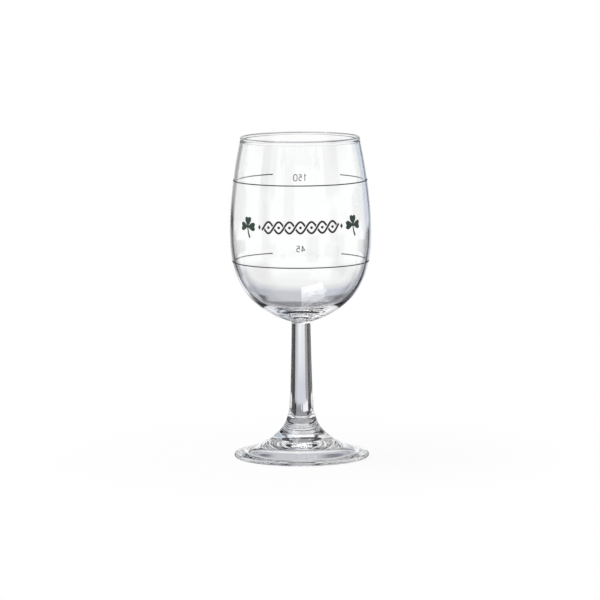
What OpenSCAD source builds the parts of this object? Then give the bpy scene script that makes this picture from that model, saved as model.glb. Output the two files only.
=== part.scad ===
// A stemmed glass for coffee with whiskey and cream: a blown bowl fused to a drawn stem and a pressed
// foot, with fired enamel prints on the outside of the bowl. Sizes are in millimetres, +Z is up, and
// the origin is on the table at the middle of the foot. The front print faces -Y.

/* [Bowl] */
// Height of the bowl from the top of the stem to the end of its wall under the rim bead
bowl_h = 84.3; // [76:0.1:90]
// Greatest outer diameter
bowl_d = 64.8; // [60:0.1:70]
// Height of the greatest diameter above the stem
belly_h = 42.5; // [39:0.1:46]
// Outer diameter at the rim
rim_d = 54.7; // [50:0.1:58]
// Thickness of the side wall
wall_t = 1.35; // [1.1:0.05:1.5]
// Thickness of the fire-polished bead round the rim
rim_bead_d = 1.6; // [1.55:0.05:2]
// Thickness of the glass in the middle of the bowl's bottom
floor_t = 4.5; // [3.8:0.1:6]
// Radius of the weld fillet between bowl and stem
weld_r = 0.9; // [0.5:0.1:1.4]
// Slope of the bowl's underside beside the stem, in degrees
underside_angle = 17.5; // [12:0.5:24]

/* [Stem] */
// Length of the stem between the bowl and the foot
stem_h = 44.5; // [30:0.1:60]
// Diameter of the stem under the bowl
stem_top_d = 8.74; // [7:0.02:10]
// Diameter of the stem where it is fused to the foot
stem_base_d = 13.86; // [12:0.02:16]
// Slope of the stem's side at the foot, from the vertical, in degrees
flare_angle = 18.3; // [12:0.1:26]

/* [Foot] */
// Diameter of the foot
foot_d = 62; // [56:0.1:68]
// Height of the foot from the table to the stem
foot_h = 17.2; // [15:0.1:20]
// Thickness of the rounded edge of the foot
foot_edge_t = 2.1; // [1.8:0.1:2.8]
// Width of the flat ring that the glass stands on
rest_ring_w = 3.5; // [2:0.1:6]
// Height of the hollow under the foot
hollow_h = 6; // [1:0.1:7]

/* [Fill lines] */
// Height of the upper line above the stem
upper_line_h = 65.8; // [58:0.1:72]
// Height of the lower line above the stem
lower_line_h = 28.7; // [22:0.1:34]
// Width of both lines
line_w = 0.5; // [0.3:0.05:1.2]
// Angle of the gap that each line leaves at the back, in degrees
line_gap_angle = 64; // [30:1:90]
// Turn of that gap from the middle of the back, in degrees
line_gap_turn = 6.8; // [-12:0.1:12]

/* [Front print] */
// Thickness of the fired enamel of every print
enamel_t = 0.12; // [0.06:0.01:0.2]
// Height of the middle of the front print above the stem
front_print_h = 47.1; // [42:0.1:52]
// Rise of the front print from left to right, in degrees
front_print_tilt = 0.6; // [0:0.1:2]
// Gap between a shamrock and the end of the twisted band
shamrock_gap = 1.6; // [1:0.1:4]
// Length of a leaflet
leaf_l = 4.6; // [3:0.1:5.2]
// Half of the angle that a leaflet spreads over, in degrees
leaf_spread = 41; // [30:1:44]
// Radius of the middle of a shamrock
shamrock_hub_r = 0.75; // [0.5:0.05:1]
// Drop of the stalk's end below the middle
stalk_drop = 5; // [3:0.1:6]
// Sideways reach of the stalk's end
stalk_reach = 1.3; // [0:0.1:2]
// Width of the stalk at the hub
stalk_w = 0.65; // [0.4:0.05:0.8]
// Number of eyes in the twisted band
band_eyes = 7; // [3:1:7]
// Length of one eye of the band
eye_l = 5; // [4.4:0.1:5.2]
// Height of the band's strands from centre line to centre line
band_h = 5.1; // [3:0.1:6]
// Width of a strand
strand_w = 0.9; // [0.5:0.05:1.1]
// Gap that a strand leaves where it passes under the other
strand_gap = 0.25; // [0.15:0.05:0.4]
// Length of the loose strand ends past the last crossing
strand_tail = 0.8; // [0.4:0.1:1]
// Diameter of the bead in each eye
bead_d = 1.3; // [0.8:0.1:1.8]
// Half width of the lozenge at each end of the band
lozenge_w = 0.75; // [0.4:0.05:1]
// Half height of that lozenge
lozenge_h = 1.2; // [0.8:0.1:2]

/* [Measure marks] */
// Height of the digits
digit_h = 3; // [2:0.1:4]
// Width of a digit
digit_w = 1.7; // [1.2:0.1:2.2]
// Width of a digit's stroke
digit_stroke = 0.42; // [0.3:0.02:0.6]
// Distance from one digit to the next
digit_pitch = 2.4; // [2:0.1:3]
// Distance of the upper mark's middle below the upper line
upper_mark_drop = 2; // [1.8:0.1:4]
// Distance of the lower mark's middle above the lower line
lower_mark_rise = 1.7; // [1.6:0.1:4]

/* [Hidden] */
$fn = 96;

// Steps along each curve of an outline, and round a bead or an edge
curve_steps = 24;
bead_steps = 12;
weld_steps = 5;
leaf_steps = 40;
strand_steps = 22;
stalk_steps = 10;

// Radii and heights that follow from the sizes above
bowl_r = bowl_d / 2;
rim_r = rim_d / 2;
stem_top_r = stem_top_d / 2;
stem_base_r = stem_base_d / 2;
foot_r = foot_d / 2;
foot_edge_r = foot_edge_t / 2;
rim_bead_r = rim_bead_d / 2;
bowl_z = foot_h + stem_h;
belly_z = bowl_z + belly_h;
rim_z = bowl_z + bowl_h;
floor_z = bowl_z + floor_t;
upper_line_z = bowl_z + upper_line_h;
lower_line_z = bowl_z + lower_line_h;
front_print_z = bowl_z + front_print_h;

// Where the handles of the outline curves lie, as shares of the distance that each curve covers
underside_handle_share = 0.965;
belly_low_handle_share = 0.3465;
belly_high_handle_share = 0.078;
rim_handle_shares = [0.95, 0.473];
floor_handle_share = 0.985;
inner_belly_handle_share = 0.25;
stem_top_handle_shares = [0.344, 0.916];
stem_base_handle_share = 0.115;
foot_top_handle_share = 0.646;
foot_edge_handle_shares = [0.842, 0.952];
hollow_edge_handle_share = 0.15;
hollow_top_handle_share = 0.68;

// How far the notch of a leaflet goes in, and how far across the leaflet it reaches
leaf_notch_share = 0.15;
leaf_notch_width_share = 0.5;

// Where the stalk starts inside the hub, how far sideways its bend lies, and how much wider it ends
stalk_start_share = 0.8;
stalk_bend_share = 0.1;
stalk_swell_share = 0.45;

// Strokes of the digits, as shares of a digit's half width and height from its middle
one_strokes = [[[-0.55, 0.28], [0.1, 0.5], [0.1, -0.5]]];
four_strokes = [[[0.45, -0.5], [0.45, 0.42]], [[0.45, 0.5], [-0.95, -0.2], [1, -0.2]]];
five_strokes = [[[0.8, 0.45], [-0.65, 0.45], [-0.72, 0.04], [-0.2, 0.14], [0.35, 0.1], [0.75, -0.08],
    [0.78, -0.26], [0.45, -0.43], [-0.1, -0.48], [-0.8, -0.4]]];

// A point at share t along a cubic curve from p to s with the handles q and r
function curve_at(p, q, r, s, t) =
    pow(1 - t, 3) * p + 3 * pow(1 - t, 2) * t * q + 3 * (1 - t) * t * t * r + t * t * t * s;

// The points of that curve after its first one
function curve(p, q, r, s) = [for (i = [1:curve_steps]) curve_at(p, q, r, s, i / curve_steps)];

// Points round a circle from angle a to angle b
function arc(centre, radius, a, b, steps) =
    [for (i = [0:steps]) let (turn = a + (b - a) * i / steps) centre + radius * [cos(turn), sin(turn)]];

function backwards(points) = [for (i = [len(points) - 1:-1:0]) points[i]];

// The weld fillet leaves the stem's side upright and ends on the slope of the bowl's underside
weld_arc = arc([stem_top_r + weld_r, bowl_z], weld_r, 180, 90 + underside_angle, weld_steps);
weld_end = weld_arc[weld_steps];

// Outside of the bowl from the weld to the end of the wall, as [radius, height] points
lower_outline = concat(weld_arc, curve(
    weld_end,
    weld_end + underside_handle_share * (bowl_r - weld_end[0]) * [cos(underside_angle), sin(underside_angle)],
    [bowl_r, belly_z - belly_low_handle_share * (belly_z - weld_end[1])],
    [bowl_r, belly_z]));
upper_outline = curve(
    [bowl_r, belly_z],
    [bowl_r, belly_z + belly_high_handle_share * (rim_z - belly_z)],
    [rim_r + rim_handle_shares[0] * (bowl_r - rim_r), belly_z + rim_handle_shares[1] * (rim_z - belly_z)],
    [rim_r, rim_z]);
outer_outline = concat(lower_outline, upper_outline);

// Inside of the bowl from the middle of the floor to the end of the wall
inner_r = bowl_r - wall_t;
inner_outline = concat(
    [[0, floor_z]],
    curve(
        [0, floor_z],
        [floor_handle_share * inner_r, floor_z],
        [inner_r, belly_z - inner_belly_handle_share * (belly_z - floor_z)],
        [inner_r, belly_z]),
    [for (p = upper_outline) p - [wall_t, 0]]);

// The bead is wider than the wall, so its circle starts a little below its own centre
bead_start = -acos(wall_t / rim_bead_d);
bead_centre = [rim_r - wall_t / 2, rim_z - rim_bead_r * sin(bead_start)];
bead_outline = arc(bead_centre, rim_bead_r, bead_start, 180 - bead_start, bead_steps);

// Side of the stem from its top to the foot, and the top of the foot from the stem to its edge
flare = [sin(flare_angle), -cos(flare_angle)];
stem_outline = concat(
    [[stem_top_r, bowl_z]],
    curve(
        [stem_top_r, bowl_z],
        [stem_top_r + stem_top_handle_shares[0] * (stem_base_r - stem_top_r),
            bowl_z - stem_top_handle_shares[1] * stem_h],
        [stem_base_r, foot_h] - stem_base_handle_share * stem_h / cos(flare_angle) * flare,
        [stem_base_r, foot_h]));
foot_edge_centre = [foot_r - foot_edge_r, foot_edge_r];
foot_top_drop = foot_h - foot_edge_t;
foot_top_outline = concat(
    [[stem_base_r, foot_h]],
    curve(
        [stem_base_r, foot_h],
        [stem_base_r, foot_h] + foot_top_handle_share * foot_top_drop / cos(flare_angle) * flare,
        [stem_base_r + foot_edge_handle_shares[0] * (foot_edge_centre[0] - stem_base_r),
            foot_h - foot_edge_handle_shares[1] * foot_top_drop],
        [foot_edge_centre[0], foot_edge_t]));
foot_edge_outline = arc(foot_edge_centre, foot_edge_r, 90, -90, bead_steps);
hollow_r = foot_edge_centre[0] - rest_ring_w;
hollow_outline = concat(
    [[hollow_r, 0]],
    curve(
        [hollow_r, 0],
        [hollow_r * (1 - hollow_edge_handle_share), 0],
        [hollow_r * hollow_top_handle_share, hollow_h],
        [0, hollow_h]));

// The layer of enamel on the outside of the bowl, before a print is cut from it
module enamel_layer(low, high) {
    rotate_extrude()
        intersection() {
            polygon(concat(outer_outline, backwards([for (p = outer_outline) p + [enamel_t, 0]])));
            translate([0, low])
                square([bowl_d, high - low]);
        }
}

// A flat figure printed on the bowl, turned round it from the front, its middle at height z
module printed(turn, z, reach) {
    intersection() {
        enamel_layer(z - reach, z + reach);
        rotate([0, 0, turn])
            translate([0, 0, z])
                rotate([90, 0, 0])
                    linear_extrude(height = bowl_d)
                        children();
    }
}

// Turn and height of a place on the front print, at a distance along the bowl from the front
function print_turn(along) = along / bowl_r * 180 / PI;
function print_z(along) = front_print_z + along * tan(front_print_tilt);

// A ribbon of even width along a path, mitred at its corners
function unit(v) = v / norm(v);
function path_side(path, i, side) =
    let (
        before = unit(path[max(i, 1)] - path[max(i, 1) - 1]),
        after = unit(path[min(i, len(path) - 2) + 1] - path[min(i, len(path) - 2)]),
        middle = unit(before + after),
        mitre = side / (middle * before))
    path[i] + mitre * [-middle[1], middle[0]];
function ribbon(path, width) = concat(
    [for (i = [0:len(path) - 1]) path_side(path, i, width / 2)],
    backwards([for (i = [0:len(path) - 1]) path_side(path, i, -width / 2)]));

// Reach of a shamrock from its middle at share u across a leaflet, from -1 to 1: a fan with round
// shoulders and a notch in the middle of its end, never less than the hub
function leaf_reach(u) = max(shamrock_hub_r, leaf_l * sqrt(1 - pow(u, 4))
    * (1 - leaf_notch_share * pow(max(0, 1 - abs(u) / leaf_notch_width_share), 2)));

// Centre line of the stalk from the hub to its free end, and its two sides, wider at the end
stalk_end = [stalk_reach, -stalk_drop];
stalk_start = [0, -stalk_start_share * shamrock_hub_r];
stalk_bend = [stalk_bend_share * stalk_reach, -stalk_drop / 2];
stalk_line = [for (i = [0:stalk_steps]) let (t = i / stalk_steps)
    (1 - t) * (1 - t) * stalk_start + 2 * (1 - t) * t * stalk_bend + t * t * stalk_end];
function stalk_side(side) = [for (i = [0:stalk_steps])
    path_side(stalk_line, i, side * stalk_w / 2 * (1 + stalk_swell_share * i / stalk_steps))];

// Outline of the three leaflets, counted anticlockwise from the right, and of the stalk
shamrock_outline = concat(
    [for (middle = [0, 90, 180]) for (i = [0:leaf_steps])
        let (u = 2 * i / leaf_steps - 1, turn = middle + u * leaf_spread)
        leaf_reach(u) * [cos(turn), sin(turn)]],
    stalk_side(-1),
    backwards(stalk_side(1)));

// Centre line of the strand that runs over at crossing k, and its normal, at a distance from crossing 0
strand_rise = band_h / 2;
function strand_at(k, along) =
    [along, strand_rise * sin(180 * (along / eye_l - k))];
function strand_normal(k, along) =
    unit([-strand_rise * PI / eye_l * cos(180 * (along / eye_l - k)), 1]);

// Where a side of that strand stops short of the crossing that it goes under
crossing_angle = atan(strand_rise * PI / eye_l);
function strand_stop(side) = cos(crossing_angle) / sin(2 * crossing_angle)
    * (strand_w / 2 + strand_gap - side * strand_w / 2 * cos(2 * crossing_angle));
function strand_side(k, side) =
    let (
        first = k == 0 ? -strand_tail : (k - 1) * eye_l + strand_stop(-side),
        last = k == band_eyes ? band_eyes * eye_l + strand_tail : (k + 1) * eye_l - strand_stop(side))
    [for (i = [0:strand_steps]) let (along = first + (last - first) * i / strand_steps)
        strand_at(k, along) + side * strand_w / 2 * strand_normal(k, along)];

band_half_l = band_eyes * eye_l / 2;

module twisted_band() {
    color([0.16, 0.1, 0.09])
        for (k = [0:band_eyes]) {
            along = k * eye_l - band_half_l;
            printed(print_turn(along), print_z(along), band_h)
                translate([-k * eye_l, 0])
                    polygon(concat(strand_side(k, 1), backwards(strand_side(k, -1))));
        }
}

// Distances along the bowl from the front to the middle of an end lozenge and of a shamrock
lozenge_along = band_half_l + strand_tail + strand_w / 2 + strand_gap + lozenge_w;
shamrock_along = lozenge_along + lozenge_w + shamrock_gap + leaf_l;

module band_beads() {
    color([0.07, 0.2, 0.13]) {
        for (k = [0:band_eyes - 1]) {
            along = (k + 0.5) * eye_l - band_half_l;
            printed(print_turn(along), print_z(along), bead_d)
                circle(d = bead_d, $fn = 24);
        }
        for (along = [-lozenge_along, lozenge_along])
            printed(print_turn(along), print_z(along), 2 * lozenge_h)
                polygon([[-lozenge_w, 0], [0, lozenge_h], [lozenge_w, 0], [0, -lozenge_h]]);
    }
}

module shamrock(along) {
    color([0.07, 0.2, 0.13])
        printed(print_turn(along), print_z(along), stalk_drop + leaf_l)
            polygon(shamrock_outline);
}

module stroked(strokes) {
    for (stroke = strokes)
        polygon(ribbon([for (p = stroke) [p[0] * digit_w / 2, p[1] * digit_h]], digit_stroke));
}

// A zero: a ring with half round ends
module zero() {
    difference() {
        slot(digit_w / 2 + digit_stroke / 2);
        slot(digit_w / 2 - digit_stroke / 2);
    }
}

module slot(radius) {
    end_y = (digit_h - digit_w) / 2;
    for (y = [-end_y, end_y])
        translate([0, y])
            circle(r = radius, $fn = 32);
    square([2 * radius, 2 * end_y], center = true);
}

module digit(which) {
    if (which == 0)
        zero();
    if (which == 1)
        stroked(one_strokes);
    if (which == 4)
        stroked(four_strokes);
    if (which == 5)
        stroked(five_strokes);
}

// A number at the back of the bowl, read from behind
module measure_mark(digits, z) {
    color([0.12, 0.18, 0.15])
        for (i = [0:len(digits) - 1]) {
            along = (i - (len(digits) - 1) / 2) * digit_pitch;
            printed(180 + print_turn(along), z, digit_h)
                digit(digits[i]);
        }
}

// A line round the bowl with a gap at the back
module fill_line(z) {
    color([0.12, 0.18, 0.15])
        rotate([0, 0, 90 - line_gap_turn + line_gap_angle / 2])
            rotate_extrude(angle = 360 - line_gap_angle)
                intersection() {
                    polygon(concat(outer_outline, backwards([for (p = outer_outline) p + [enamel_t, 0]])));
                    translate([0, z - line_w / 2])
                        square([bowl_d, line_w]);
                }
}

module bowl() {
    color([0.86, 0.9, 0.92, 0.35])
        rotate_extrude()
            polygon(concat([[0, bowl_z]], outer_outline, bead_outline, backwards(inner_outline)));
}

module stem() {
    color([0.86, 0.9, 0.92, 0.35])
        rotate_extrude()
            polygon(concat([[0, bowl_z]], stem_outline, [[0, foot_h]]));
}

module foot() {
    color([0.86, 0.9, 0.92, 0.35])
        rotate_extrude()
            polygon(concat([[0, foot_h]], foot_top_outline, foot_edge_outline, hollow_outline));
}

bowl();
stem();
foot();
fill_line(upper_line_z);  // upper_fill_line
fill_line(lower_line_z);  // lower_fill_line
shamrock(-shamrock_along);  // left_shamrock
shamrock(shamrock_along);  // right_shamrock
twisted_band();
band_beads();
measure_mark([1, 5, 0], upper_line_z - upper_mark_drop);  // upper_measure_mark
measure_mark([4, 5], lower_line_z + lower_mark_rise);  // lower_measure_mark
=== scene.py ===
"""A stemmed coffee glass with fired enamel prints, and the small white studio that it stands in.

Lengths are in metres, +Z is up, the origin is on the table under the middle of the foot, and the front
print faces -Y.
"""

import math

import bmesh
import bpy
import numpy as np
from bpy.props import FloatProperty, FloatVectorProperty, IntProperty, PointerProperty
from mathutils import Matrix, Vector


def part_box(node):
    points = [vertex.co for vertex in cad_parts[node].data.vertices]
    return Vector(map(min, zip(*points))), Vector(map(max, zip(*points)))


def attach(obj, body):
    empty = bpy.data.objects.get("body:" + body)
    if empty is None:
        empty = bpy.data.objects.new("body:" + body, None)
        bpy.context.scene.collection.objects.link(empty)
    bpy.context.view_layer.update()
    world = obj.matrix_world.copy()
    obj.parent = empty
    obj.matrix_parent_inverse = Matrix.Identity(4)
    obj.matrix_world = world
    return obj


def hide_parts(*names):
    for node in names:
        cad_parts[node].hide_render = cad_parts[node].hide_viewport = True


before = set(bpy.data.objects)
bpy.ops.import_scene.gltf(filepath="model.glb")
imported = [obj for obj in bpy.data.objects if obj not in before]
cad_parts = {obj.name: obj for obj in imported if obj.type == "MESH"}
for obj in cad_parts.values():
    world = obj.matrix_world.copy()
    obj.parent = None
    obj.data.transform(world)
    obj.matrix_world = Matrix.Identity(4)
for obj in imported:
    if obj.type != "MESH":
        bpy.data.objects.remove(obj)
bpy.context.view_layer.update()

bl_info = {
    "name": "Stemmed Coffee Glass",
    "version": (1, 0, 0),
    "blender": (4, 5, 0),
    "location": "3D View > Sidebar > Coffee Glass",
    "description": "Blows, welds and prints a stemmed coffee glass, and sets up its studio",
    "category": "Add Mesh",
}

MM = 0.001
ROOT = "root"
BOWL_LOW, BOWL_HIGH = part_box("bowl")
STEM_LOW, STEM_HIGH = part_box("stem")
FOOT_LOW, FOOT_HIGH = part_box("foot")


# Sizes and colours that a user would change


def length(name, description, default, low=0.0, high=1.0):
    return FloatProperty(
        name=name, description=description, default=default, min=low, max=high,
        precision=5, unit="LENGTH", subtype="DISTANCE",
    )


def angle(name, description, degrees):
    return FloatProperty(
        name=name, description=description, default=math.radians(degrees), unit="ROTATION", subtype="ANGLE",
    )


def colour(name, description, default):
    return FloatVectorProperty(
        name=name, description=description, default=default, size=3, min=0.0, max=1.0, subtype="COLOR",
    )


class GlassShape(bpy.types.PropertyGroup):
    """Sizes of the clear glass."""

    rim_height: length("Rim height", "Height of the bowl's lip over the table", BOWL_HIGH[2])
    bowl_radius: length("Bowl radius", "Outer radius of the bowl at its widest", BOWL_HIGH[0])
    belly_rise: length("Belly rise", "Height of the widest place over the stem", 42.5 * MM)
    rim_radius: length("Rim radius", "Outer radius of the bowl's wall under the lip", 27.35 * MM)
    wall: length("Wall", "Thickness of the side wall", 1.35 * MM)
    rim_bead: length("Lip bead", "Thickness of the fire-polished lip", 1.6 * MM)
    floor: length("Bowl floor", "Thickness of the glass under the drink", 4.5 * MM)
    weld: length("Weld fillet", "Radius of the fillet where bowl and stem are welded", 0.9 * MM)
    underside: angle("Underside", "Slope of the bowl's underside beside the stem", 17.5)
    bowl_seam: length("Bowl seam", "Height at which bowl and stem are fused", STEM_HIGH[2])
    foot_seam: length("Foot seam", "Height at which stem and foot are fused", FOOT_HIGH[2])
    stem_top: length("Stem top", "Radius of the stem under the bowl", 4.37 * MM)
    stem_base: length("Stem base", "Radius of the stem at the foot", 6.93 * MM)
    flare: angle("Flare", "Slope of the stem's side at the foot, from the vertical", 18.3)
    foot_radius: length("Foot radius", "Outer radius of the foot", FOOT_HIGH[0])
    foot_edge: length("Foot edge", "Thickness of the foot's rounded edge", 2.1 * MM)
    rest_ring: length("Rest ring", "Width of the flat ring that the glass stands on", 3.5 * MM)
    hollow: length("Hollow", "Height of the hollow under the foot", 6.0 * MM)
    turns: IntProperty(name="Turns", description="Steps round the glass", default=288, min=24, max=720)


class PrintShape(bpy.types.PropertyGroup):
    """Sizes of the fired enamel prints."""

    upper_line: length("Upper line", "Height of the upper fill line over the stem", 65.8 * MM)
    lower_line: length("Lower line", "Height of the lower fill line over the stem", 28.7 * MM)
    line_width: length("Line width", "Width of the fill lines", 0.5 * MM)
    line_gap: angle("Line gap", "Angle that the fill lines leave open at the back", 64.0)
    gap_turn: angle("Gap turn", "Turn of that gap from the middle of the back", 6.8)
    front_rise: length("Front print", "Height of the front print's middle over the stem", 47.1 * MM)
    front_tilt: angle("Front tilt", "Rise of the front print from left to right", 0.6)
    shamrock_gap: length("Shamrock gap", "Gap between a shamrock and the end of the band", 1.6 * MM)
    leaf: length("Leaflet", "Length of a leaflet", 4.6 * MM)
    leaf_spread: angle("Leaflet spread", "Half of the angle that a leaflet spreads over", 41.0)
    hub: length("Hub", "Radius of a shamrock's middle", 0.75 * MM)
    stalk_drop: length("Stalk drop", "Drop of the stalk's end below the middle", 5.0 * MM)
    stalk_reach: length("Stalk reach", "Sideways reach of the stalk's end", 1.3 * MM)
    stalk_width: length("Stalk width", "Width of the stalk at the hub", 0.65 * MM)
    eyes: IntProperty(name="Eyes", description="Number of eyes in the twisted band", default=7, min=1, max=9)
    eye_length: length("Eye length", "Length of one eye of the band", 5.0 * MM)
    band_height: length("Band height", "Height of the band between the strands' middles", 5.1 * MM)
    strand: length("Strand", "Width of a strand", 0.9 * MM)
    strand_gap: length("Strand gap", "Gap that a strand leaves where it passes under", 0.25 * MM)
    strand_tail: length("Strand tail", "Length of the loose ends past the last crossing", 0.8 * MM)
    bead: length("Bead", "Diameter of the bead in each eye", 1.3 * MM)
    lozenge_width: length("Lozenge width", "Half width of the lozenge at each end", 0.75 * MM)
    lozenge_height: length("Lozenge height", "Half height of that lozenge", 1.2 * MM)
    digit_height: length("Digit height", "Height of the digits", 3.0 * MM)
    digit_width: length("Digit width", "Width of a digit", 1.7 * MM)
    digit_stroke: length("Digit stroke", "Width of a digit's stroke", 0.42 * MM)
    digit_pitch: length("Digit pitch", "Distance from one digit to the next", 2.4 * MM)
    upper_mark_drop: length("Upper mark", "Distance of the upper mark below its line", 2.0 * MM)
    lower_mark_rise: length("Lower mark", "Distance of the lower mark above its line", 1.7 * MM)
    film: length("Film", "Thickness of the enamel film over the glass", 0.06 * MM)
    sink: length("Sink", "How far the fired film reaches into the glass", 0.03 * MM)


class GlassFinish(bpy.types.PropertyGroup):
    """Colours of the glass, the enamels and the studio."""

    glass: colour("Glass", "Colour of light after one pass through a surface", (0.996, 0.998, 0.998))
    line_enamel: colour("Line enamel", "Grey green of the fill lines and numbers", (0.03, 0.042, 0.038))
    leaf_enamel: colour("Leaf enamel", "Dark green of the shamrocks and beads", (0.012, 0.036, 0.022))
    band_enamel: colour("Band enamel", "Brown black of the twisted band", (0.018, 0.012, 0.011))
    table: colour("Table", "Colour of the table", (0.9, 0.9, 0.9))


# Outlines, as arrays of (radius, height)

# How far the handles of the curves reach, as shares of the span that each curve crosses
UNDERSIDE_REACH, BELLY_REACH_DOWN = 0.965, 0.3465
BELLY_REACH_UP, SHOULDER_OUT, SHOULDER_UP = 0.078, 0.95, 0.473
INSIDE_FLOOR_REACH, INSIDE_BELLY_REACH = 0.985, 0.25
STEM_OUT, STEM_DOWN, STEM_FLARE_REACH = 0.344, 0.916, 0.115
FOOT_FLARE_REACH, FOOT_TOP_OUT, FOOT_TOP_DOWN = 0.646, 0.842, 0.952
HOLLOW_EDGE_REACH, HOLLOW_TOP_REACH = 0.85, 0.68


def cubic(p, q, r, s, steps):
    """Points on a cubic curve from p to s, p left out: (1-t)^3 p + 3(1-t)^2 t q + 3(1-t) t^2 r + t^3 s."""
    p, q, r, s = (np.asarray(v, float) for v in (p, q, r, s))
    t = np.linspace(0.0, 1.0, steps + 1)[1:, None]
    return (1 - t) ** 3 * p + 3 * (1 - t) ** 2 * t * q + 3 * (1 - t) * t ** 2 * r + t ** 3 * s


def arc(centre, radius, start, end, steps):
    """Points round a circle: centre + radius (cos a, sin a), with a from start to end."""
    a = np.linspace(start, end, steps + 1)
    return np.asarray(centre) + radius * np.stack([np.cos(a), np.sin(a)], axis=1)


def bowl_outside(g):
    """Outside of the bowl: a quarter fillet off the stem, a full round belly and a narrowing wall."""
    wall_top = rim_centre(g)[1] + g.rim_bead / 2 * math.sin(lip_start(g))
    belly = g.bowl_seam + g.belly_rise
    fillet = arc([g.stem_top + g.weld, g.bowl_seam], g.weld, math.pi, math.pi / 2 + g.underside, steps=14)
    start = fillet[-1]
    slope = np.array([math.cos(g.underside), math.sin(g.underside)])
    lower = cubic(start, start + UNDERSIDE_REACH * (g.bowl_radius - start[0]) * slope,
                  [g.bowl_radius, belly - BELLY_REACH_DOWN * (belly - start[1])],
                  [g.bowl_radius, belly], steps=84)
    upper = cubic([g.bowl_radius, belly], [g.bowl_radius, belly + BELLY_REACH_UP * (wall_top - belly)],
                  [g.rim_radius + SHOULDER_OUT * (g.bowl_radius - g.rim_radius),
                   belly + SHOULDER_UP * (wall_top - belly)],
                  [g.rim_radius, wall_top], steps=44)
    return np.concatenate([fillet, lower, upper]), upper


def lip_start(g):
    """The bead is wider than the wall, so its circle leaves the wall a little below its centre."""
    return -math.acos(g.wall / g.rim_bead)


def rim_centre(g):
    """Middle of the circle that the lip's outline follows."""
    return np.array([g.rim_radius - g.wall / 2, g.rim_height - g.rim_bead / 2])


def bowl_outline(g):
    """Outline of the bowl from the middle of its seam, up the outside and back down the inside."""
    outside, upper = bowl_outside(g)
    start = lip_start(g)
    lip = arc(rim_centre(g), g.rim_bead / 2, start, math.pi - start, steps=24)[1:-1]
    belly, floor, inner = g.bowl_seam + g.belly_rise, g.bowl_seam + g.floor, g.bowl_radius - g.wall
    inside = np.concatenate([
        [[0.0, floor]],
        cubic([0.0, floor], [INSIDE_FLOOR_REACH * inner, floor],
              [inner, belly - INSIDE_BELLY_REACH * (belly - floor)], [inner, belly], steps=84),
        upper - [g.wall, 0.0],
    ])
    return np.concatenate([[[0.0, g.bowl_seam]], outside, lip, inside[::-1]])


def stem_outline(g):
    """Outline of the stem from the middle of the foot seam up its side to the middle of the bowl seam."""
    span = g.bowl_seam - g.foot_seam
    flare = np.array([math.sin(g.flare), -math.cos(g.flare)])
    side = np.concatenate([
        [[g.stem_top, g.bowl_seam]],
        cubic([g.stem_top, g.bowl_seam],
              [g.stem_top + STEM_OUT * (g.stem_base - g.stem_top), g.bowl_seam - STEM_DOWN * span],
              np.array([g.stem_base, g.foot_seam]) - STEM_FLARE_REACH * span / math.cos(g.flare) * flare,
              [g.stem_base, g.foot_seam], steps=120),
    ])
    return np.concatenate([[[0.0, g.foot_seam]], side[::-1], [[0.0, g.bowl_seam]]])


def foot_outline(g):
    """Outline of the foot from the top of its hollow, out along the rest ring, and up to the stem."""
    edge = g.foot_edge / 2
    centre = np.array([g.foot_radius - edge, edge])
    drop = g.foot_seam - g.foot_edge
    flare = np.array([math.sin(g.flare), -math.cos(g.flare)])
    start = np.array([g.stem_base, g.foot_seam])
    top = np.concatenate([
        [start],
        cubic(start, start + FOOT_FLARE_REACH * drop / math.cos(g.flare) * flare,
              [g.stem_base + FOOT_TOP_OUT * (centre[0] - g.stem_base), g.foot_seam - FOOT_TOP_DOWN * drop],
              [centre[0], g.foot_edge], steps=90),
    ])
    ring = centre[0] - g.rest_ring
    hollow = np.concatenate([
        [[ring, 0.0]],
        cubic([ring, 0.0], [HOLLOW_EDGE_REACH * ring, 0.0],
              [HOLLOW_TOP_REACH * ring, g.hollow], [0.0, g.hollow], steps=80),
    ])
    round_edge = arc(centre, edge, -math.pi / 2, math.pi / 2, steps=24)[:-1]
    return np.concatenate([hollow[::-1], round_edge, top[::-1], [[0.0, g.foot_seam]]])


# Meshes

# Angles between faces from which an edge is shaded as sharp, and how near points are merged
GLASS_SHARP, PRINT_SHARP = math.radians(40), math.radians(50)
MERGE_DISTANCE = 0.001 * MM
# How far the enamel thins out towards its edges, as a share of its thickness
EDGE_THINNING = 0.75


def new_piece(name, vertices, faces, material):
    """Puts arrays of vertices and faces into a mesh that rides on the glass."""
    mesh = bpy.data.meshes.new(name)
    mesh.from_pydata(vertices.tolist(), [], faces)
    mesh.validate()
    mesh.update()
    piece = bpy.data.objects.new(name, mesh)
    bpy.context.scene.collection.objects.link(piece)
    mesh.materials.append(material)
    mesh.polygons.foreach_set("use_smooth", np.ones(len(mesh.polygons), bool))
    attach(piece, ROOT)
    return piece


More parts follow.
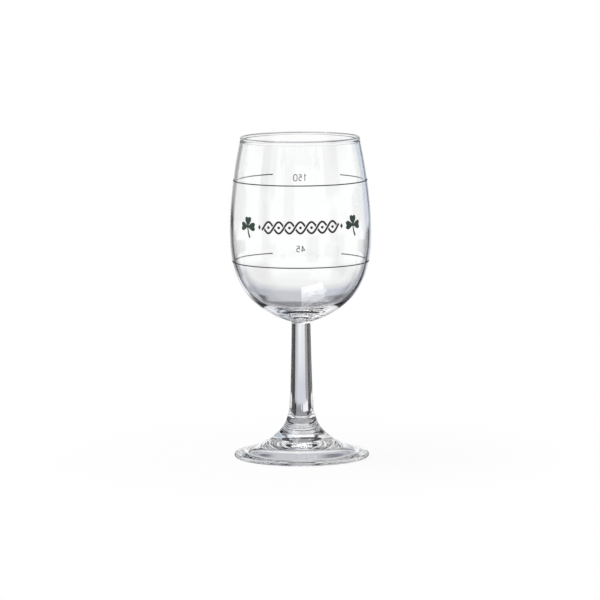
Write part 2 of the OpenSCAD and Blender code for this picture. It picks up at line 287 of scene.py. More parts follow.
def lathe(name, outline, turns, materials, seams):
    """Turns an outline round the axis: (r cos a, r sin a, z) for each of the turns.

    The outline starts and ends on the axis, and both ends are closed with a fan. The fans named in
    seams, 0 for the first and 1 for the last, are where this piece is fused to the next one.
    """
    radius, height = outline[1:-1].T
    a = np.linspace(0.0, 2 * math.pi, turns, endpoint=False)
    rings = np.stack([radius[:, None] * np.cos(a), radius[:, None] * np.sin(a),
                      np.repeat(height[:, None], turns, axis=1)], axis=2).reshape(-1, 3)
    poles = np.array([[0.0, 0.0, outline[0, 1]], [0.0, 0.0, outline[-1, 1]]])
    vertices = np.concatenate([rings, poles])
    row = np.arange(len(radius) - 1)[:, None] * turns
    here = np.arange(turns)[None, :]
    after = (here + 1) % turns
    quads = np.stack([row + here, row + after, row + turns + after, row + turns + here],
                     axis=2).reshape(-1, 4)
    last = (len(radius) - 1) * turns
    first_fan = np.stack([np.full(turns, len(rings)), after[0], here[0]], axis=1)
    last_fan = np.stack([last + here[0], last + after[0], np.full(turns, len(rings) + 1)], axis=1)
    faces = quads.tolist() + first_fan.tolist() + last_fan.tolist()
    piece = new_piece(name, vertices, faces, materials[0])
    mesh = piece.data
    mesh.materials.append(materials[1])
    index = np.zeros(len(mesh.polygons), np.int32)
    smooth = np.ones(len(mesh.polygons), bool)
    for seam in seams:
        start = len(quads) + seam * turns
        index[start:start + turns] = 1
        smooth[start:start + turns] = False
    mesh.polygons.foreach_set("material_index", index)
    mesh.polygons.foreach_set("use_smooth", smooth)
    mesh.set_sharp_from_angle(angle=GLASS_SHARP)
    mesh.update()
    return piece


def film_layers(g, p, turn, height, lift):
    """The two faces of an enamel film over places on the bowl, given as turns from the front and heights.

    A point stands at (r sin turn, -r cos turn, height), where r is the bowl's radius at that height plus
    the film's lift there on the outer face, or less the sink on the inner face.
    """
    outside, _ = bowl_outside(g)
    radius = np.interp(height, outside[:, 1], outside[:, 0])
    layers = []
    for r in (radius + lift, radius - p.sink):
        layers.append(np.stack([r * np.sin(turn), -r * np.cos(turn), height], axis=-1).reshape(-1, 3))
    return layers


def strip_faces(rows, columns, form, start):
    """Outer and inner quads of a strip of rows x columns, and the quads of the walls round its border."""
    inner = start + rows * columns
    i = np.arange(rows - 1)[:, None]
    j = np.arange(columns - 1 if form == "open" else columns)[None, :]
    k = (j + 1) % columns
    quads = np.stack([i * columns + j, i * columns + k, (i + 1) * columns + k, (i + 1) * columns + j],
                     axis=2).reshape(-1, 4)
    if form == "open":
        borders = [np.concatenate([
            np.arange(columns), np.arange(1, rows) * columns + columns - 1,
            (rows - 1) * columns + np.arange(columns - 2, -1, -1), np.arange(rows - 2, -1, -1) * columns,
        ])]
    else:
        round_once = np.arange(columns + 1) % columns
        borders = [round_once, ((rows - 1) * columns + round_once)[::-1]][:1 if form == "disc" else 2]
    walls = [np.stack([start + b[:-1], inner + b[:-1], inner + b[1:], start + b[1:]], axis=1)
             for b in borders]
    return [start + quads, inner + quads[:, ::-1], *walls]


def printed(name, g, p, strips, material, node):
    """Makes one print out of strips, each (turn, height, form) on a grid of rows x columns over the bowl.

    The rows of an "open" strip and of a "ring" run from side to side, and those of a "disc" from the edge
    to the middle. A ring or disc joins its last column to its first. The film thins out at the edges as
    1 - EDGE_THINNING d^6, where d is 1 at an edge and 0 in the middle.
    """
    vertices, faces, count = [], [], 0
    for turn, height, form in strips:
        rows, columns = turn.shape
        across = np.linspace(-1.0, 0.0 if form == "disc" else 1.0, rows)[:, None]
        lift = p.film * (1.0 - EDGE_THINNING * across ** 6) * np.ones((1, columns))
        vertices += film_layers(g, p, turn, height, lift)
        faces += [f for group in strip_faces(rows, columns, form, count) for f in group.tolist()]
        count += 2 * rows * columns
    piece = new_piece(name, np.concatenate(vertices), faces, material)
    mesh = piece.data
    edit = bmesh.new()
    edit.from_mesh(mesh)
    bmesh.ops.remove_doubles(edit, verts=edit.verts, dist=MERGE_DISTANCE)
    edit.to_mesh(mesh)
    edit.free()
    mesh.set_sharp_from_angle(angle=PRINT_SHARP)
    mesh.update()
    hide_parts(node)
    return piece


# Strips of enamel, each as (turn from the front, height, form) on a grid of rows x columns

# Rows across a stroke, a bead, a leaflet and the nought, and columns along or round each figure
STROKE_ROWS, BEAD_ROWS, LEAF_ROWS, NOUGHT_ROWS = 7, 7, 13, 5
LINE_COLUMNS, STRAND_COLUMNS, STALK_COLUMNS = 420, 40, 24
LEAF_COLUMNS, BEAD_COLUMNS, NOUGHT_COLUMNS = 400, 48, 60
# A leaflet's notch as a share of its length, how its rows crowd towards the edge, where the stalk starts
# and bends as shares of the hub and of its own reach, and how much wider the stalk is at its end
NOTCH, LEAF_CROWDING = 0.15, 1.6
STALK_START, STALK_BEND, STALK_WIDENING = 0.8, 0.1, 0.45


def on_bowl(g, middle_turn, middle_height, x, y):
    """Lays a flat figure on the bowl: the turn is middle_turn + x / bowl radius, the height middle + y."""
    return middle_turn + x / g.bowl_radius, middle_height + y


def on_front(g, p, along, x, y):
    """Lays a flat figure on the front print, which rises to the right, at a distance along it."""
    height = g.bowl_seam + p.front_rise + along * math.tan(p.front_tilt)
    return on_bowl(g, along / g.bowl_radius, height, x, y)


def line_strips(g, p, rise):
    """A line round the bowl: turns from one side of the gap to the other, heights across the line."""
    middle = math.pi - p.gap_turn
    turn = np.linspace(middle + p.line_gap / 2 - 2 * math.pi, middle - p.line_gap / 2, LINE_COLUMNS)
    across = np.linspace(-0.5, 0.5, STROKE_ROWS)[:, None] * p.line_width
    return [(turn + 0 * across, g.bowl_seam + rise + across + 0 * turn, "open")]


def ribbon(path, width):
    """A ribbon along a path: each point moved across by width, along the mitre of its two neighbours.

    path is (columns, 2), width is one value per column, and the rows run from side to side.
    """
    step = np.diff(path, axis=0)
    step /= np.linalg.norm(step, axis=1, keepdims=True)
    before = np.concatenate([step[:1], step])
    after = np.concatenate([step, step[-1:]])
    middle = before + after
    middle /= np.linalg.norm(middle, axis=1, keepdims=True)
    reach = width / 2 / np.sum(middle * before, axis=1)
    normal = np.stack([-middle[:, 1], middle[:, 0]], axis=1)
    across = np.linspace(-1.0, 1.0, STROKE_ROWS)[:, None, None]
    points = path[None] + across * (reach[:, None] * normal)[None]
    return points[..., 0], points[..., 1]


def shamrock_strips(g, p, side):
    """Three leaflets on a hub, and a stalk.

    Across a leaflet u runs from -1 to 1, and its edge stands at leaf sqrt(1 - u^4) (1 - NOTCH n^2) from the
    hub, where n = max(0, 1 - 2|u|) makes the notch. The edge is never nearer than the hub's radius, and
    that is where it stands below the hub, where there is no leaflet.
    """
    along = side * (lozenge_along(p) + p.lozenge_width + p.shamrock_gap + p.leaf)
    a = np.linspace(0.0, 2 * math.pi, LEAF_COLUMNS, endpoint=False)
    off = (a + math.pi / 4) % (math.pi / 2) - math.pi / 4
    below = np.abs(a - 1.5 * math.pi) < math.pi / 4
    u = np.where(below, 1.0, np.clip(off / p.leaf_spread, -1.0, 1.0))
    edge = p.leaf * np.sqrt(1 - u ** 4) * (1 - NOTCH * np.maximum(0.0, 1 - 2 * np.abs(u)) ** 2)
    edge = np.maximum(edge, p.hub) * np.linspace(1.0, 0.0, LEAF_ROWS)[:, None] ** LEAF_CROWDING
    leaves = on_front(g, p, along, edge * np.cos(a), edge * np.sin(a))
    t = np.linspace(0.0, 1.0, STALK_COLUMNS)[:, None]
    start, end = np.array([0.0, -STALK_START * p.hub]), np.array([p.stalk_reach, -p.stalk_drop])
    bend = np.array([STALK_BEND * p.stalk_reach, -p.stalk_drop / 2])
    path = (1 - t) ** 2 * start + 2 * (1 - t) * t * bend + t ** 2 * end
    stalk = on_front(g, p, along, *ribbon(path, p.stalk_width * (1 + STALK_WIDENING * t[:, 0])))
    return [(*leaves, "disc"), (*stalk, "open")]


def band_half(p):
    """Half the length of the band from its first crossing to its last."""
    return p.eyes * p.eye_length / 2


def lozenge_along(p):
    """Distance along the bowl from the front to the middle of the lozenge at the band's end."""
    return band_half(p) + p.strand_tail + p.strand / 2 + p.strand_gap + p.lozenge_width


def strand_strips(g, p):
    """Two strands that swing as sines of one eye's length and half the band's height, one over the other.

    The strand that runs over at crossing k is drawn from crossing k-1 to k+1. Each of its sides stops
    short of those two crossings by the gap and by half the width of the strand that it goes under.
    """
    rise = p.band_height / 2
    pitch = p.eye_length
    lean = math.atan(rise * math.pi / pitch)
    columns = np.linspace(0.0, 1.0, STRAND_COLUMNS)
    strips = []
    for k in range(p.eyes + 1):
        sides = []
        for side in (-1, 1):
            near, far = (math.cos(lean) / math.sin(2 * lean)
                         * (p.strand / 2 + p.strand_gap - s * p.strand / 2 * math.cos(2 * lean))
                         for s in (-side, side))
            first = -p.strand_tail if k == 0 else (k - 1) * pitch + near
            last = p.eyes * pitch + p.strand_tail if k == p.eyes else (k + 1) * pitch - far
            x = first + (last - first) * columns
            swing = math.pi * (x / pitch - k)
            normal = np.stack([-rise * math.pi / pitch * np.cos(swing), np.ones_like(x)])
            normal /= np.linalg.norm(normal, axis=0)
            sides.append(np.stack([x, rise * np.sin(swing)]) + side * p.strand / 2 * normal)
        across = np.linspace(0.0, 1.0, STROKE_ROWS)[:, None, None]
        points = sides[0].T[None] * (1 - across) + sides[1].T[None] * across
        x = points[..., 0] - band_half(p)
        lift = x * math.tan(p.front_tilt)
        strips.append((*on_front(g, p, 0.0, x, points[..., 1] + lift), "open"))
    return strips


def bead_strips(g, p):
    """A round bead in each eye, and a lozenge at each end."""
    a = np.linspace(0.0, 2 * math.pi, BEAD_COLUMNS, endpoint=False)
    out = np.linspace(1.0, 0.0, BEAD_ROWS)[:, None]
    strips = []
    for k in range(p.eyes):
        along = (k + 0.5) * p.eye_length - band_half(p)
        x, y = out * p.bead / 2 * np.cos(a), out * p.bead / 2 * np.sin(a)
        strips.append((*on_front(g, p, along, x, y), "disc"))
    point = 1 / (np.abs(np.cos(a)) / p.lozenge_width + np.abs(np.sin(a)) / p.lozenge_height)
    for along in (-lozenge_along(p), lozenge_along(p)):
        strips.append((*on_front(g, p, along, out * point * np.cos(a), out * point * np.sin(a)), "disc"))
    return strips


# Strokes of the digits, as shares of a digit's half width and of its height from its middle
DIGIT_STROKES = {
    1: [[(-0.55, 0.28), (0.1, 0.5), (0.1, -0.5)]],
    4: [[(0.45, -0.5), (0.45, 0.42)], [(0.45, 0.5), (-0.95, -0.2), (1.0, -0.2)]],
    5: [[(0.8, 0.45), (-0.65, 0.45), (-0.72, 0.04), (-0.2, 0.14), (0.35, 0.1), (0.75, -0.08),
         (0.78, -0.26), (0.45, -0.43), (-0.1, -0.48), (-0.8, -0.4)]],
}


def digit_strips(g, p, digits, height):
    """Digits at the back of the bowl, drawn with strokes of even width. A nought is a long ring."""
    strips = []
    for i, digit in enumerate(digits):
        along = (i - (len(digits) - 1) / 2) * p.digit_pitch
        middle = math.pi + along / g.bowl_radius
        if digit == 0:
            a = np.linspace(0.0, 2 * math.pi, NOUGHT_COLUMNS, endpoint=False)
            straight = (p.digit_height - p.digit_width) / 2
            across = p.digit_width / 2 + np.linspace(0.5, -0.5, NOUGHT_ROWS)[:, None] * p.digit_stroke
            x, y = across * np.cos(a), across * np.sin(a) + straight * np.sign(np.sin(a))
            strips.append((*on_bowl(g, middle, height, x, y), "ring"))
            continue
        for stroke in DIGIT_STROKES[digit]:
            path = np.array(stroke) * [p.digit_width / 2, p.digit_height]
            x, y = ribbon(path, np.full(len(path), p.digit_stroke))
            strips.append((*on_bowl(g, middle, height, x, y), "open"))
    return strips


# Materials

# Indices of refraction, and the depth of the waves in the glass's surface
GLASS_INDEX = 1.52
ENAMEL_INDEX = 1.5
WAVE_DEPTH = 0.01 * MM
# Enamel: noise scales of its clouds and of its grain, the grain's depth and strength, its colour in dense
# and in thin places as shares of the plain colour, and its roughness and how far the grain adds to that
CLOUD_SCALE, GRAIN_SCALE = 700.0, 9000.0
GRAIN_DEPTH, GRAIN_STRENGTH = 0.02 * MM, 0.4
DENSE, THIN = 0.6, 1.6
SATIN, SATIN_SPREAD = 0.3, 0.2


class Wire:
    """An output of a node. Sums, differences and products with it add the Math nodes."""

    def __init__(self, paint, socket):
        self.paint, self.socket = paint, socket

    def __add__(self, other):
        return self.paint.math("ADD", self, other)

    def __sub__(self, other):
        return self.paint.math("SUBTRACT", self, other)

    def __rsub__(self, other):
        return self.paint.math("SUBTRACT", other, self)

    def __mul__(self, other):
        return self.paint.math("MULTIPLY", self, other)

    __radd__, __rmul__ = __add__, __mul__


class Paint:
    """The node tree of a material or of the world, empty at first."""

    def __init__(self, owner):
        owner.use_nodes = True
        self.tree = owner.node_tree
        self.tree.nodes.clear()

    def node(self, kind, settings=None, values=None, output=0):
        """Adds a node, sets its settings and then its inputs, and gives the wire of one output."""
        node = self.tree.nodes.new(kind)
        for name, value in (settings or {}).items():
            setattr(node, name, value)
        for name, value in (values or {}).items():
            if isinstance(value, Wire):
                self.tree.links.new(value.socket, node.inputs[name])
            else:
                node.inputs[name].default_value = value
        return Wire(self, node.outputs[output]) if len(node.outputs) else None

    def math(self, operation, *values):
        return self.node("ShaderNodeMath", {"operation": operation}, dict(enumerate(values)))

    def mix(self, factor, first, second):
        """A colour on the way from the first to the second."""
        return self.node("ShaderNodeMix", {"data_type": "RGBA"}, {
            "Factor": factor, 6: first, 7: second,
        }, output=2)


def opaque(rgb):
    """A colour for a node's socket, which takes four numbers."""
    return (*rgb, 1.0)


def glass_material(name, tint, stretch, grain):
    """Clear glass: full transmission, and a slow waviness of its surface left by the hot work."""
    material = bpy.data.materials.new(name)
    paint = Paint(material)
    place = paint.node("ShaderNodeTexCoord", output="Object")
    drawn = paint.node("ShaderNodeMapping", values={"Vector": place, "Scale": stretch})
    waves = paint.node("ShaderNodeTexNoise", values={"Vector": drawn, "Scale": grain, "Detail": 1.0})
    bump = paint.node("ShaderNodeBump", values={"Height": waves, "Strength": 1.0, "Distance": WAVE_DEPTH})
    surface = paint.node("ShaderNodeBsdfPrincipled", values={
        "Base Color": opaque(tint), "Roughness": 0.0, "IOR": GLASS_INDEX, "Transmission Weight": 1.0,
        "Normal": bump,
    })
    paint.node("ShaderNodeOutputMaterial", values={"Surface": surface})
    return material


def seam_material():
    """The disc where two pieces of glass are fused: light goes through it as if nothing were there."""
    material = bpy.data.materials.new("fused_seam")
    paint = Paint(material)
    surface = paint.node("ShaderNodeBsdfPrincipled", values={
        "Alpha": 0.0, "Roughness": 0.0, "IOR": GLASS_INDEX,
    })
    paint.node("ShaderNodeOutputMaterial", values={"Surface": surface})
    return material


def enamel_material(name, rgb):
    """Fired enamel: dense colour with cloudy thin places, a satin gloss and fine grain from the screen."""
    material = bpy.data.materials.new(name)
    paint = Paint(material)
    place = paint.node("ShaderNodeTexCoord", output="Object")
    clouds = paint.node("ShaderNodeTexNoise", values={"Vector": place, "Scale": CLOUD_SCALE, "Detail": 3.0})
    grain = paint.node("ShaderNodeTexNoise", values={"Vector": place, "Scale": GRAIN_SCALE, "Detail": 2.0})
    shade = paint.mix(clouds, opaque([DENSE * c for c in rgb]), opaque([THIN * c for c in rgb]))
    bump = paint.node("ShaderNodeBump", values={
        "Height": grain, "Strength": GRAIN_STRENGTH, "Distance": GRAIN_DEPTH,
    })
    surface = paint.node("ShaderNodeBsdfPrincipled", values={
        "Base Color": shade, "Roughness": SATIN + SATIN_SPREAD * grain, "IOR": ENAMEL_INDEX, "Normal": bump,
    })
    paint.node("ShaderNodeOutputMaterial", values={"Surface": surface})
    return material


# The glass and its prints


class GlassOperator:
    """What every step here shares: the sizes and colours of this scene."""

    bl_options = {"REGISTER", "UNDO"}

    def settings(self, context):
        scene = context.scene
        return scene.coffee_glass, scene.coffee_glass_prints, scene.coffee_glass_finish


class COFFEEGLASS_OT_bowl(GlassOperator, bpy.types.Operator):
    """Blow the bowl with its thick floor and fire-polished lip"""

    bl_idname = "coffee_glass.bowl"
    bl_label = "Blow Bowl"

    def execute(self, context):
        g, _, finish = self.settings(context)
        clear = glass_material("blown_glass", finish.glass, stretch=(1.0, 1.0, 0.6), grain=60.0)
        piece = lathe("blown_bowl", bowl_outline(g), g.turns, [clear, seam_material()], [0])
        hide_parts("bowl")
        return {"FINISHED"}


class COFFEEGLASS_OT_stem(GlassOperator, bpy.types.Operator):
    """Draw the stem between bowl and foot"""

    bl_idname = "coffee_glass.stem"
    bl_label = "Draw Stem"

    def execute(self, context):
        g, _, finish = self.settings(context)
        clear = glass_material("drawn_glass", finish.glass, stretch=(1.0, 1.0, 0.15), grain=120.0)
        piece = lathe("drawn_stem", stem_outline(g), g.turns, [clear, seam_material()], [0, 1])
        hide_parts("stem")
        return {"FINISHED"}


class COFFEEGLASS_OT_foot(GlassOperator, bpy.types.Operator):
    """Press the foot with its rounded edge and the hollow underneath"""

    bl_idname = "coffee_glass.foot"
    bl_label = "Press Foot"

    def execute(self, context):
        g, _, finish = self.settings(context)
        clear = glass_material("pressed_glass", finish.glass, stretch=(1.0, 1.0, 1.0), grain=90.0)
        piece = lathe("pressed_foot", foot_outline(g), g.turns, [clear, seam_material()], [1])
        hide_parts("foot")
        return {"FINISHED"}


class COFFEEGLASS_OT_fill_lines(GlassOperator, bpy.types.Operator):
    """Print the two fill lines round the bowl"""

    bl_idname = "coffee_glass.fill_lines"
    bl_label = "Print Fill Lines"

    def execute(self, context):
        g, p, finish = self.settings(context)
        enamel = enamel_material("grey_green_line_enamel", finish.line_enamel)
        for name, node, rise in (("fired_upper_line", "upper_fill_line", p.upper_line),
                                 ("fired_lower_line", "lower_fill_line", p.lower_line)):
            printed(name, g, p, line_strips(g, p, rise), enamel, node)
        return {"FINISHED"}


class COFFEEGLASS_OT_shamrocks(GlassOperator, bpy.types.Operator):
    """Print a shamrock on each side of the twisted band"""

    bl_idname = "coffee_glass.shamrocks"
    bl_label = "Print Shamrocks"

    def execute(self, context):
        g, p, finish = self.settings(context)
        enamel = enamel_material("dark_green_leaf_enamel", finish.leaf_enamel)
        for name, node, side in (("fired_left_shamrock", "left_shamrock", -1),
                                 ("fired_right_shamrock", "right_shamrock", 1)):
            printed(name, g, p, shamrock_strips(g, p, side), enamel, node)
        return {"FINISHED"}


class COFFEEGLASS_OT_twisted_band(GlassOperator, bpy.types.Operator):
    """Print the two-strand twist, with a bead in each eye and a lozenge at each end"""

    bl_idname = "coffee_glass.twisted_band"
    bl_label = "Print Twisted Band"

    def execute(self, context):
        g, p, finish = self.settings(context)
        brown = enamel_material("brown_black_band_enamel", finish.band_enamel)
        green = enamel_material("dark_green_bead_enamel", finish.leaf_enamel)
        printed("fired_twist", g, p, strand_strips(g, p), brown, "twisted_band")
        printed("fired_beads", g, p, bead_strips(g, p), green, "band_beads")
        return {"FINISHED"}


class COFFEEGLASS_OT_measure_marks(GlassOperator, bpy.types.Operator):
    """Print a plain number beside each fill line at the back"""

    bl_idname = "coffee_glass.measure_marks"
    bl_label = "Print Measure Marks"

    def execute(self, context):
        g, p, finish = self.settings(context)
        enamel = enamel_material("grey_green_mark_enamel", finish.line_enamel)
        upper = g.bowl_seam + p.upper_line - p.upper_mark_drop
        lower = g.bowl_seam + p.lower_line + p.lower_mark_rise
        printed("fired_upper_mark", g, p, digit_strips(g, p, (1, 5, 0), upper), enamel,
                "upper_measure_mark")
        printed("fired_lower_mark", g, p, digit_strips(g, p, (4, 5), lower), enamel,
                "lower_measure_mark")
        return {"FINISHED"}


# The studio

# The photograph's camera: its height over the table, its distance from the glass along the table, the
# height that it aims at, how far its line of sight passes to the right of the glass's axis, its lens in
# millimetres for a sensor of the given width, and how far it leans
CAMERA_HEIGHT = 0.3132
CAMERA_DISTANCE = 1.950
AIM_HEIGHT = 0.0722
AIM_RIGHT = -0.0004
LENS = 257.7
SENSOR_WIDTH = 36.0
LEAN = math.radians(0.34)

# The bright and dark panels round the glass, as (azimuth and elevation of the middle, half width and half
# height, softness of the side edges and of the upper and lower edges, colour), with angles in degrees.
# Azimuth 0 is behind the glass as the photograph's camera sees it, a half width of 190 goes all round,
# and each panel is laid over the ones before it.
PANELS = (
    ((0, 75), (190, 15), (5, 15), (0.7, 0.7, 0.72)),
    ((-100, 45), (52, 11), (10, 8), (0.85, 0.85, 0.85)),
    ((0, 44), (19, 14), (4, 4), (0.3, 0.3, 0.32)),
    ((-60, 26), (14, 8), (4, 4), (1.0, 1.0, 1.0)),
    ((60, 26), (14, 8), (4, 4), (0.5, 0.55, 0.62)),
    ((0, -72), (190, 18), (5, 8), (0.32, 0.32, 0.34)),
    ((180, 0), (54, 38), (14, 10), (0.98, 0.99, 1.0)),
    ((-93, 0), (38, 16), (14, 8), (1.0, 1.0, 1.0)),
    ((93, -1), (38, 16), (14, 8), (0.96, 0.98, 1.0)),
    ((-121, -3), (5, 6), (5, 4), (0.1, 0.1, 0.1)),
    ((-121, 12), (13, 5), (4, 3), (0.1, 0.1, 0.1)),
    ((121, 12), (13, 5), (4, 3), (0.1, 0.1, 0.1)),
    ((111, -14), (6, 7), (5, 4), (0.1, 0.1, 0.1)),
    ((160, -14), (7, 7), (5, 4), (0.1, 0.1, 0.1)),
    ((-55, 0), (13, 5), (4, 1.5), (0.97, 0.97, 0.98)),
    ((56, 0), (12, 5), (4, 1.5), (0.95, 0.97, 1.0)),
    ((37, 0), (9, 4.5), (4, 1.5), (0.7, 0.76, 0.87)),
    ((-28, 1), (8, 4), (5, 2), (0.38, 0.38, 0.38)),
    ((-59, -9.8), (14, 2), (7, 0.8), (0.02, 0.02, 0.02)),
    ((52, -9.8), (14, 2), (7, 0.8), (0.02, 0.02, 0.02)),
    ((-31, 12), (8, 5), (4, 3), (0.9, 0.9, 0.9)),
    ((31, 12), (8, 5), (4, 3), (0.6, 0.66, 0.75)),
    ((0, -45), (22, 9), (5, 5), (0.85, 0.85, 0.87)),
    ((0, -24), (17, 7), (5, 9), (0.24, 0.24, 0.27)),
    ((-15, -17), (9, 5), (2, 2), (0.9, 0.9, 0.94)),
    ((-45, -25), (4, 2.5), (3, 2), (1.0, 1.0, 1.0)),
    ((-22, -9), (5, 2.5), (3, 2), (0.3, 0.3, 0.29)),
    ((18, -9), (6, 2.5), (4, 3), (0.5, 0.52, 0.56)),
    ((11, 3), (5, 12), (5, 9), (0.6, 0.65, 0.72)),
    ((-2.5, -11), (11, 1.5), (4, 2), (0.6, 0.62, 0.7)),
    ((-0.5, -15), (1.5, 3), (1.5, 3), (0.6, 0.61, 0.65)),
    ((-2.5, 4), (11, 11.8), (4, 2.6), (1.0, 1.0, 1.0)),
)
# The room between the panels
SIDES = (0.015, 0.013, 0.014)

# How many times a ray may go through glass or a clear surface, and off a gloss
THROUGH_BOUNCES, GLOSSY_BOUNCES = 32, 16

# The table, how far it lies under the foot, and the share of plain white in it at the glass and at its
# rim. The rest is lit, so that it shows the shadow. White takes over between two shares of the radius.
TABLE_RADIUS = 0.16
TABLE_EDGES = 96
TABLE_DROP = 0.1 * MM
WHITE_AT_GLASS, WHITE_AT_RIM = 0.92, 1.0
WHITENING_START, WHITENING_END = 0.4, 0.95


def soft_band(paint, off, reach, fade):
    """1 where an angle is within reach of 0 either way round the circle, and 0 past the fade beyond it."""
    off = paint.math("ABSOLUTE", paint.math("WRAP", off, math.pi, -math.pi))
    return paint.node("ShaderNodeMapRange", {"interpolation_type": "SMOOTHSTEP"}, {
        "Value": off, "From Min": reach + fade, "From Max": reach,
    })


def surroundings(paint):
    """Colour of the panels in the direction of a ray, over the dim sides of the room.

    A direction's azimuth is atan2(x, y) and its elevation is asin(z).
    """
    ray = paint.node("ShaderNodeTexCoord", output="Generated")
    split = paint.node("ShaderNodeSeparateXYZ", values={"Vector": ray}).socket.node.outputs
    x, y, z = (Wire(paint, socket) for socket in split)
    azimuth, elevation = paint.math("ARCTAN2", x, y), paint.math("ARCSINE", z)
    shade = opaque(SIDES)
    for aim, half, soft, rgb in PANELS:
        (turn, rise), (half_width, half_height), (side_fade, end_fade) = np.radians((aim, half, soft))
        across = soft_band(paint, azimuth - turn, half_width, side_fade)
        up = soft_band(paint, elevation - rise, half_height, end_fade)
        shade = paint.mix(across * up, shade, opaque(rgb))
    return shade


def table_material(rgb):
    """A white table with a faint shadow for the camera, clear to rays that come off or through the glass."""
    material = bpy.data.materials.new("white_table")
    paint = Paint(material)
    place = paint.node("ShaderNodeTexCoord", output="Object")
    out = paint.node("ShaderNodeVectorMath", {"operation": "LENGTH"}, {0: place}, output=1)
    whiteness = paint.node("ShaderNodeMapRange", {"interpolation_type": "SMOOTHSTEP"}, {
        "Value": out, "From Min": WHITENING_START * TABLE_RADIUS, "From Max": WHITENING_END * TABLE_RADIUS,
        "To Min": WHITE_AT_GLASS, "To Max": WHITE_AT_RIM,
    })
    camera, glossy, through = rays(paint)
    matte = paint.node("ShaderNodeBsdfDiffuse", values={"Color": opaque(rgb)})
    white = paint.node("ShaderNodeEmission", values={"Color": opaque((1.0, 1.0, 1.0)), "Strength": 1.0})
    clear = paint.node("ShaderNodeBsdfTransparent")
    seen = paint.node("ShaderNodeMixShader", values={0: camera * whiteness, 1: matte, 2: white})
    surface = paint.node("ShaderNodeMixShader", values={0: glossy + through, 1: seen, 2: clear})
    paint.node("ShaderNodeOutputMaterial", values={"Surface": surface})
    return material


def rays(paint):
    """1 for rays straight from the camera, off a gloss and through glass, as three wires."""
    outputs = paint.node("ShaderNodeLightPath").socket.node.outputs
    return [Wire(paint, outputs[name]) for name in ("Is Camera Ray", "Is Glossy Ray", "Is Transmission Ray")]


def soft_lamp(name, position, aim, size, power):
    """A square softbox at position, turned to aim."""
    lamp = bpy.data.lights.new(name, "AREA")
    lamp.shape, lamp.size, lamp.energy = "SQUARE", size, power
    holder = bpy.data.objects.new(name, lamp)
    holder.location = position
    holder.rotation_euler = (Vector(aim) - Vector(position)).to_track_quat("-Z", "Y").to_euler()
    bpy.context.scene.collection.objects.link(holder)


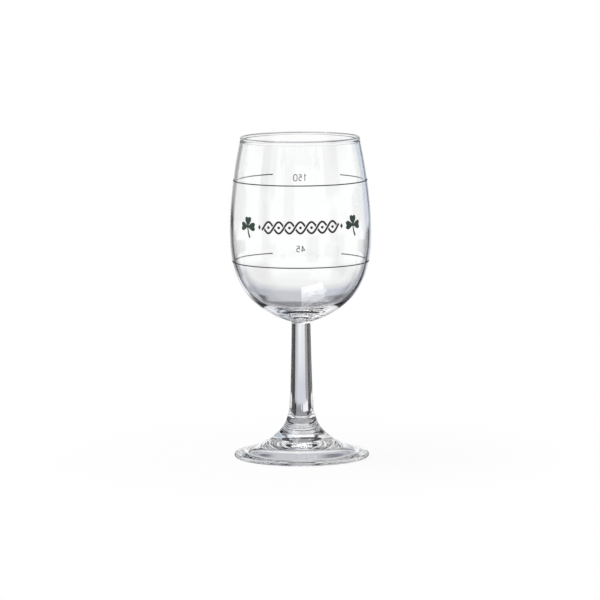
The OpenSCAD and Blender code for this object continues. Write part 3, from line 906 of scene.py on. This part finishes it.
class COFFEEGLASS_OT_studio(GlassOperator, bpy.types.Operator):
    """Set up the white table, the soft light and the camera"""

    bl_idname = "coffee_glass.studio"
    bl_label = "Set Up Studio"

    def execute(self, context):
        _, _, finish = self.settings(context)
        scene = context.scene
        scene.view_settings.view_transform = "Standard"
        scene.cycles.max_bounces = THROUGH_BOUNCES
        scene.cycles.transmission_bounces = THROUGH_BOUNCES
        scene.cycles.transparent_max_bounces = THROUGH_BOUNCES
        scene.cycles.glossy_bounces = GLOSSY_BOUNCES
        self.add_table(finish)
        self.add_world(scene)
        self.add_camera(scene)
        soft_lamp("ceiling_softbox", position=(-0.36, 0.0, 1.25), aim=(-0.1, 0.0, 0.08), size=0.7, power=6.5)
        return {"FINISHED"}

    def add_table(self, finish):
        """A round table top, a hair under the foot so that the two faces never share a plane."""
        a = np.linspace(0.0, 2 * math.pi, TABLE_EDGES, endpoint=False)
        edge = np.stack([TABLE_RADIUS * np.cos(a), TABLE_RADIUS * np.sin(a), 0 * a - TABLE_DROP], axis=1)
        mesh = bpy.data.meshes.new("table_top")
        mesh.from_pydata(edge.tolist(), [], [tuple(range(len(edge)))])
        table = bpy.data.objects.new("table_top", mesh)
        mesh.materials.append(table_material(finish.table))
        bpy.context.scene.collection.objects.link(table)

    def add_world(self, scene):
        """White for the camera, and the panels for rays that light the glass or go through it."""
        scene.world = bpy.data.worlds.new("white_studio")
        paint = Paint(scene.world)
        camera = rays(paint)[0]
        shade = paint.mix(camera, surroundings(paint), opaque((1.0, 1.0, 1.0)))
        sky = paint.node("ShaderNodeBackground", values={"Color": shade, "Strength": 1.0})
        paint.node("ShaderNodeOutputWorld", values={"Surface": sky})

    def add_camera(self, scene):
        """The photograph's camera, turned about its own line of sight by the lean."""
        lens = bpy.data.cameras.new("photo_camera")
        lens.lens, lens.sensor_width, lens.clip_start, lens.clip_end = LENS, SENSOR_WIDTH, 0.05, 20.0
        camera = bpy.data.objects.new("photo_camera", lens)
        position = Vector((AIM_RIGHT, -CAMERA_DISTANCE, CAMERA_HEIGHT))
        aim = Vector((AIM_RIGHT, 0.0, AIM_HEIGHT))
        turn = (aim - position).to_track_quat("-Z", "Y").to_matrix() @ Matrix.Rotation(-LEAN, 3, "Z")
        camera.location, camera.rotation_euler = position, turn.to_euler()
        scene.collection.objects.link(camera)
        scene.camera = camera


class COFFEEGLASS_PT_panel(bpy.types.Panel):
    """Lists the steps and the sizes"""

    bl_label = "Coffee Glass"
    bl_idname = "COFFEEGLASS_PT_panel"
    bl_space_type = "VIEW_3D"
    bl_region_type = "UI"
    bl_category = "Coffee Glass"

    def draw(self, context):
        column = self.layout.column(align=True)
        for step in STEPS:
            column.operator(step.bl_idname)
        for group in ("coffee_glass", "coffee_glass_prints", "coffee_glass_finish"):
            box = self.layout.box()
            settings = getattr(context.scene, group)
            for name in settings.__annotations__:
                box.prop(settings, name)


STEPS = (
    COFFEEGLASS_OT_studio, COFFEEGLASS_OT_bowl, COFFEEGLASS_OT_stem, COFFEEGLASS_OT_foot,
    COFFEEGLASS_OT_fill_lines, COFFEEGLASS_OT_shamrocks, COFFEEGLASS_OT_twisted_band,
    COFFEEGLASS_OT_measure_marks,
)
CLASSES = (GlassShape, PrintShape, GlassFinish, *STEPS, COFFEEGLASS_PT_panel)


def register():
    for cls in CLASSES:
        bpy.utils.register_class(cls)
    bpy.types.Scene.coffee_glass = PointerProperty(type=GlassShape)
    bpy.types.Scene.coffee_glass_prints = PointerProperty(type=PrintShape)
    bpy.types.Scene.coffee_glass_finish = PointerProperty(type=GlassFinish)


def unregister():
    del bpy.types.Scene.coffee_glass_finish
    del bpy.types.Scene.coffee_glass_prints
    del bpy.types.Scene.coffee_glass
    for cls in reversed(CLASSES):
        bpy.utils.unregister_class(cls)


def main():
    register()
    for step in STEPS:
        group, name = step.bl_idname.split(".")
        getattr(getattr(bpy.ops, group), name)()


if __name__ == "__main__":
    main()
